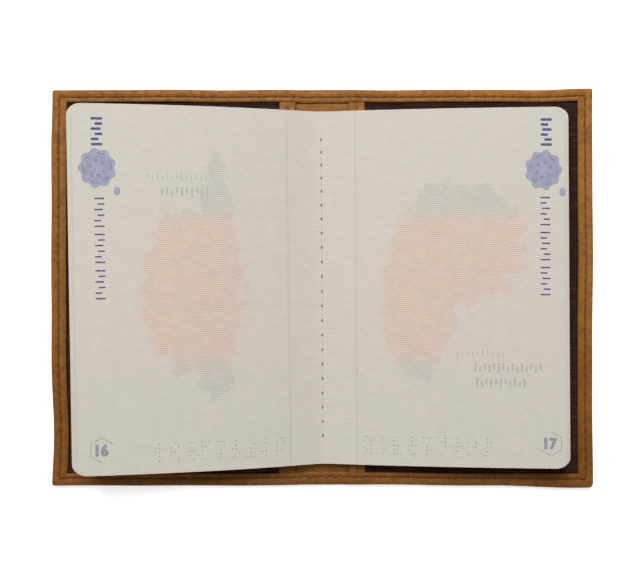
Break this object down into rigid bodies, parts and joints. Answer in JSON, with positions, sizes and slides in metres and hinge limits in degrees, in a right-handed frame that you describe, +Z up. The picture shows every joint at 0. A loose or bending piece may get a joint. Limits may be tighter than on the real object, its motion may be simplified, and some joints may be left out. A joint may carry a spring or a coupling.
{
  "type": "passport holder",
  "caption": "Soft leather passport holder with stitched turned-in edges and two woven pockets, lying open with a sewn booklet held in it.",
  "frame": {"origin": "on the table under the middle of the spine, with the holder lying open", "axes": "+X across the open holder from the front cover to the back cover, +Y up the pages, +Z up from the table"},
  "size_m": [0.1938, 0.1416, 0.0195],
  "materials": {
    "tan_leather": "waxed nubuck, matt",
    "lining_leather": "smooth, matt",
    "woven_lining": "fine plain weave, slight sheen",
    "board": "raw board",
    "thread": "waxed polyester thread",
    "sewing_thread": "white thread",
    "booklet_cover": "grained laminated cloth",
    "paper": "printed security paper, matt"
  },
  "bodies": {
    "spine": {"spine_leather": "tan_leather", "spine_lining": "lining_leather", "spine_edge_stitching": "thread", "booklet_spine": "booklet_cover", "booklet_sewn_folds": "paper", "booklet_sewing_thread": "sewing_thread"},
    "front_cover": {"front_leather": "tan_leather", "front_spine_lining": "lining_leather", "front_board": "board", "front_lining": "woven_lining", "front_pocket": "woven_lining", "front_pocket_binding": "lining_leather", "front_edge_stitching": "thread", "front_binding_stitching": "thread", "booklet_front_cover": "booklet_cover", "booklet_front_endpaper": "paper"},
    "back_cover": {"back_leather": "tan_leather", "back_spine_lining": "lining_leather", "back_board": "board", "back_lining": "woven_lining", "back_pocket": "woven_lining", "back_pocket_binding": "lining_leather", "back_edge_stitching": "thread", "back_binding_stitching": "thread", "booklet_back_cover": "booklet_cover", "booklet_back_endpaper": "paper"},
    "front_leaf_1": {"front_leaf_1": "paper"},
    "front_leaf_2": {"front_leaf_2": "paper"},
    "front_leaf_3": {"front_leaf_3": "paper"},
    "front_leaf_4": {"front_leaf_4": "paper"},
    "front_leaf_5": {"front_leaf_5": "paper"},
    "front_leaf_6": {"front_leaf_6": "paper"},
    "front_leaf_7": {"front_leaf_7": "paper"},
    "front_leaf_8": {"front_leaf_8": "paper"},
    "back_leaf_1": {"back_leaf_1": "paper"},
    "back_leaf_2": {"back_leaf_2": "paper"},
    "back_leaf_3": {"back_leaf_3": "paper"},
    "back_leaf_4": {"back_leaf_4": "paper"},
    "back_leaf_5": {"back_leaf_5": "paper"},
    "back_leaf_6": {"back_leaf_6": "paper"},
    "back_leaf_7": {"back_leaf_7": "paper"},
    "back_leaf_8": {"back_leaf_8": "paper"}
  },
  "joints": [
    {"name": "front_fold", "type": "hinge", "parent": "spine", "child": "front_cover", "pos_m": [-0.0035, 0, 0.00275], "axis": [0, 1, 0], "range_deg": [0, 90]},
    {"name": "back_fold", "type": "hinge", "parent": "spine", "child": "back_cover", "pos_m": [0.0035, 0, 0.00275], "axis": [0, -1, 0], "range_deg": [0, 90]},
    {"name": "front_leaf_1_turn", "type": "hinge", "parent": "spine", "child": "front_leaf_1", "pos_m": [-0.00124, 0, 0.00271], "axis": [0, 1, 0], "range_deg": [0, 88]},
    {"name": "front_leaf_2_turn", "type": "hinge", "parent": "spine", "child": "front_leaf_2", "pos_m": [-0.00108, 0, 0.00287], "axis": [0, 1, 0], "range_deg": [0, 88]},
    {"name": "front_leaf_3_turn", "type": "hinge", "parent": "spine", "child": "front_leaf_3", "pos_m": [-0.00092, 0, 0.00303], "axis": [0, 1, 0], "range_deg": [0, 88]},
    {"name": "front_leaf_4_turn", "type": "hinge", "parent": "spine", "child": "front_leaf_4", "pos_m": [-0.00076, 0, 0.00319], "axis": [0, 1, 0], "range_deg": [0, 88]},
    {"name": "front_leaf_5_turn", "type": "hinge", "parent": "spine", "child": "front_leaf_5", "pos_m": [-0.0006, 0, 0.00335], "axis": [0, 1, 0], "range_deg": [0, 88]},
    {"name": "front_leaf_6_turn", "type": "hinge", "parent": "spine", "child": "front_leaf_6", "pos_m": [-0.00044, 0, 0.00351], "axis": [0, 1, 0], "range_deg": [0, 88]},
    {"name": "front_leaf_7_turn", "type": "hinge", "parent": "spine", "child": "front_leaf_7", "pos_m": [-0.00028, 0, 0.00367], "axis": [0, 1, 0], "range_deg": [0, 88]},
    {"name": "front_leaf_8_turn", "type": "hinge", "parent": "spine", "child": "front_leaf_8", "pos_m": [-0.00012, 0, 0.00383], "axis": [0, 1, 0], "range_deg": [0, 88]},
    {"name": "back_leaf_1_turn", "type": "hinge", "parent": "spine", "child": "back_leaf_1", "pos_m": [0.00124, 0, 0.00271], "axis": [0, -1, 0], "range_deg": [0, 88]},
    {"name": "back_leaf_2_turn", "type": "hinge", "parent": "spine", "child": "back_leaf_2", "pos_m": [0.00108, 0, 0.00287], "axis": [0, -1, 0], "range_deg": [0, 88]},
    {"name": "back_leaf_3_turn", "type": "hinge", "parent": "spine", "child": "back_leaf_3", "pos_m": [0.00092, 0, 0.00303], "axis": [0, -1, 0], "range_deg": [0, 88]},
    {"name": "back_leaf_4_turn", "type": "hinge", "parent": "spine", "child": "back_leaf_4", "pos_m": [0.00076, 0, 0.00319], "axis": [0, -1, 0], "range_deg": [0, 88]},
    {"name": "back_leaf_5_turn", "type": "hinge", "parent": "spine", "child": "back_leaf_5", "pos_m": [0.0006, 0, 0.00335], "axis": [0, -1, 0], "range_deg": [0, 88]},
    {"name": "back_leaf_6_turn", "type": "hinge", "parent": "spine", "child": "back_leaf_6", "pos_m": [0.00044, 0, 0.00351], "axis": [0, -1, 0], "range_deg": [0, 88]},
    {"name": "back_leaf_7_turn", "type": "hinge", "parent": "spine", "child": "back_leaf_7", "pos_m": [0.00028, 0, 0.00367], "axis": [0, -1, 0], "range_deg": [0, 88]},
    {"name": "back_leaf_8_turn", "type": "hinge", "parent": "spine", "child": "back_leaf_8", "pos_m": [0.00012, 0, 0.00383], "axis": [0, -1, 0], "range_deg": [0, 88]}
  ],
  "couplings": [
    {"joint": "front_leaf_1_turn", "follows": "front_fold", "ratio": 0.88},
    {"joint": "front_leaf_2_turn", "follows": "front_fold", "ratio": 0.87841},
    {"joint": "front_leaf_3_turn", "follows": "front_fold", "ratio": 0.87683},
    {"joint": "front_leaf_4_turn", "follows": "front_fold", "ratio": 0.87524},
    {"joint": "front_leaf_5_turn", "follows": "front_fold", "ratio": 0.87365},
    {"joint": "front_leaf_6_turn", "follows": "front_fold", "ratio": 0.87206},
    {"joint": "front_leaf_7_turn", "follows": "front_fold", "ratio": 0.87048},
    {"joint": "front_leaf_8_turn", "follows": "front_fold", "ratio": 0.86889},
    {"joint": "back_leaf_1_turn", "follows": "back_fold", "ratio": 0.93556},
    {"joint": "back_leaf_2_turn", "follows": "back_fold", "ratio": 0.93492},
    {"joint": "back_leaf_3_turn", "follows": "back_fold", "ratio": 0.93429},
    {"joint": "back_leaf_4_turn", "follows": "back_fold", "ratio": 0.93365},
    {"joint": "back_leaf_5_turn", "follows": "back_fold", "ratio": 0.93302},
    {"joint": "back_leaf_6_turn", "follows": "back_fold", "ratio": 0.93238},
    {"joint": "back_leaf_7_turn", "follows": "back_fold", "ratio": 0.93175},
    {"joint": "back_leaf_8_turn", "follows": "back_fold", "ratio": 0.93111}
  ]
}
